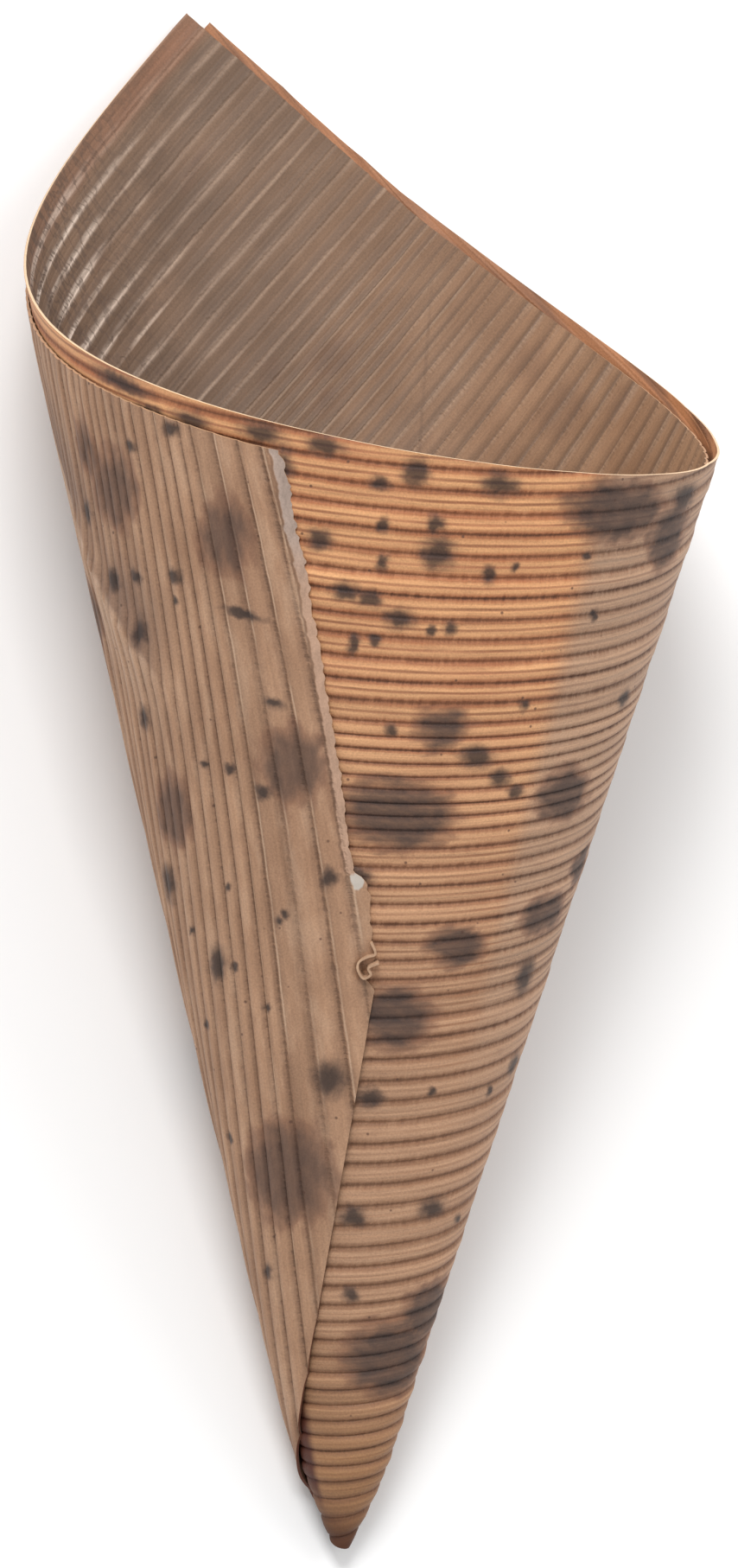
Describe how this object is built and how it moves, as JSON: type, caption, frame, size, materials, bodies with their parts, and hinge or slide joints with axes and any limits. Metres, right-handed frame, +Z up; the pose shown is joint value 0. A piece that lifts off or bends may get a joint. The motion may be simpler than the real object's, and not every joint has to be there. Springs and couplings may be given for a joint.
{
  "type": "finger food cone",
  "caption": "Pointed serving cone rolled from a rectangle of ribbed, spotted dried leaf, with a slanting rim, a tall back corner and an overlapping outer flap torn along one side.",
  "frame": {"origin": "bottom centre of the bounding box of the cone as it lies on its side", "axes": "+Z up, +Y from the tip towards the mouth, along the line that the cone lies on, +X to the right seen from above"},
  "size_m": [0.0534, 0.1218, 0.0409],
  "materials": {
    "leaf": "dry matte leaf with dark blotches"
  },
  "bodies": {
    "root": {"rolled_leaf": "leaf"}
  },
  "joints": []
}
